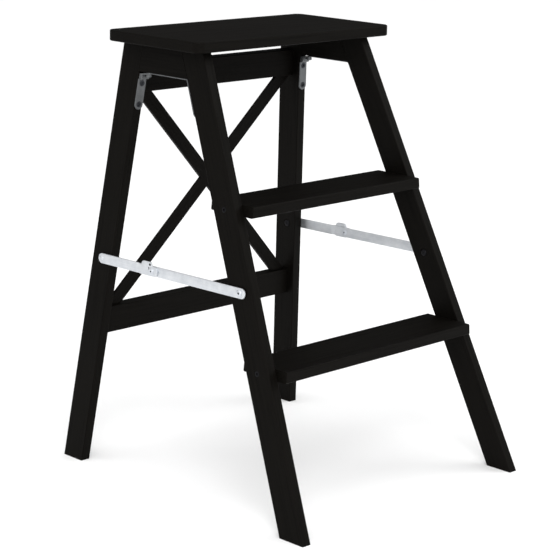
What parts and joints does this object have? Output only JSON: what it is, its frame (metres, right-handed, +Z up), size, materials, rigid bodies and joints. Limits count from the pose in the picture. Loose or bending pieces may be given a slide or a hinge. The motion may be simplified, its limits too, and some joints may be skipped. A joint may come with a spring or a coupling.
{
  "type": "step ladder",
  "caption": "Folding wooden step ladder with a flat standing top, treads between splayed stiles, a cross-braced rear frame on strap hinges and jointed steel side stays.",
  "frame": {"origin": "on the floor, at the middle of the open ladder's footprint", "axes": "+Z up, -Y the side that is climbed, +X to the right as seen from the front"},
  "size_m": [0.449, 0.4926, 0.63],
  "materials": {
    "black_wood": "satin black stain over fine-grained hardwood",
    "dowel_beech": "plain turned beech, hidden in its bores",
    "stay_zinc": "bright zinc-plated flat strip",
    "hinge_steel": "dull grey plated steel",
    "screw_steel": "dark plated screws",
    "rivet_steel": "plated rivets, bolts and washers"
  },
  "bodies": {
    "front_frame": {"top_plate": "black_wood", "left_front_stile": "black_wood", "right_front_stile": "black_wood", "left_side_apron": "black_wood", "right_side_apron": "black_wood", "lower_tread": "black_wood", "upper_tread": "black_wood", "left_corner_strap": "hinge_steel", "right_corner_strap": "hinge_steel", "left_hinge_apron_leaf": "hinge_steel", "right_hinge_apron_leaf": "hinge_steel", "left_hinge_pin": "hinge_steel", "right_hinge_pin": "hinge_steel", "left_stay_front_bolt": "rivet_steel", "right_stay_front_bolt": "rivet_steel", "left_stay_front_washer": "rivet_steel", "right_stay_front_washer": "rivet_steel", "tread_screws": "screw_steel", "tread_dowels": "dowel_beech", "top_dowels": "dowel_beech", "apron_dowels": "dowel_beech", "apron_leaf_screws": "screw_steel", "corner_strap_screws": "screw_steel"},
    "rear_frame": {"left_rear_leg": "black_wood", "right_rear_leg": "black_wood", "upper_rear_crossbar": "black_wood", "lower_rear_stretcher": "black_wood", "brace_slat_rising": "black_wood", "brace_slat_falling": "black_wood", "left_hinge_leg_leaf": "hinge_steel", "right_hinge_leg_leaf": "hinge_steel", "left_stay_rear_bolt": "rivet_steel", "right_stay_rear_bolt": "rivet_steel", "left_stay_rear_spacer": "rivet_steel", "right_stay_rear_spacer": "rivet_steel", "rail_dowels": "dowel_beech", "brace_pegs": "dowel_beech", "leg_leaf_screws": "screw_steel"},
    "left_stay_front": {"left_stay_front_arm": "stay_zinc"},
    "left_stay_rear": {"left_stay_rear_arm": "stay_zinc", "left_stay_knuckle_rivet": "rivet_steel", "left_stay_tab_pin": "screw_steel", "left_stay_rear_rivet": "rivet_steel"},
    "right_stay_front": {"right_stay_front_arm": "stay_zinc"},
    "right_stay_rear": {"right_stay_rear_arm": "stay_zinc", "right_stay_knuckle_rivet": "rivet_steel", "right_stay_tab_pin": "screw_steel", "right_stay_rear_rivet": "rivet_steel"}
  },
  "joints": [
    {"name": "fold", "type": "hinge", "parent": "front_frame", "child": "rear_frame", "pos_m": [0, 0.14506, 0.5657], "axis": [-1, 0, 0], "range_deg": [0, 38]},
    {"name": "left_stay_pivot", "type": "hinge", "parent": "front_frame", "child": "left_stay_front", "pos_m": [-0.19616, -0.08986, 0.3065], "axis": [1, 0, 0], "range_deg": [0, 49.9]},
    {"name": "left_stay_knuckle", "type": "hinge", "parent": "left_stay_front", "child": "left_stay_rear", "pos_m": [-0.19821, 0.084, 0.30434], "axis": [-1, 0, 0], "range_deg": [0, 140.9]},
    {"name": "right_stay_pivot", "type": "hinge", "parent": "front_frame", "child": "right_stay_front", "pos_m": [0.19616, -0.08986, 0.3065], "axis": [1, 0, 0], "range_deg": [0, 49.9]},
    {"name": "right_stay_knuckle", "type": "hinge", "parent": "right_stay_front", "child": "right_stay_rear", "pos_m": [0.19821, 0.084, 0.30434], "axis": [-1, 0, 0], "range_deg": [0, 140.9]}
  ],
  "couplings": [
    {"joint": "left_stay_pivot", "follows": "fold", "ratio": 1.3105},
    {"joint": "left_stay_knuckle", "follows": "fold", "ratio": 3.7071},
    {"joint": "right_stay_pivot", "follows": "fold", "ratio": 1.3105},
    {"joint": "right_stay_knuckle", "follows": "fold", "ratio": 3.7071}
  ]
}
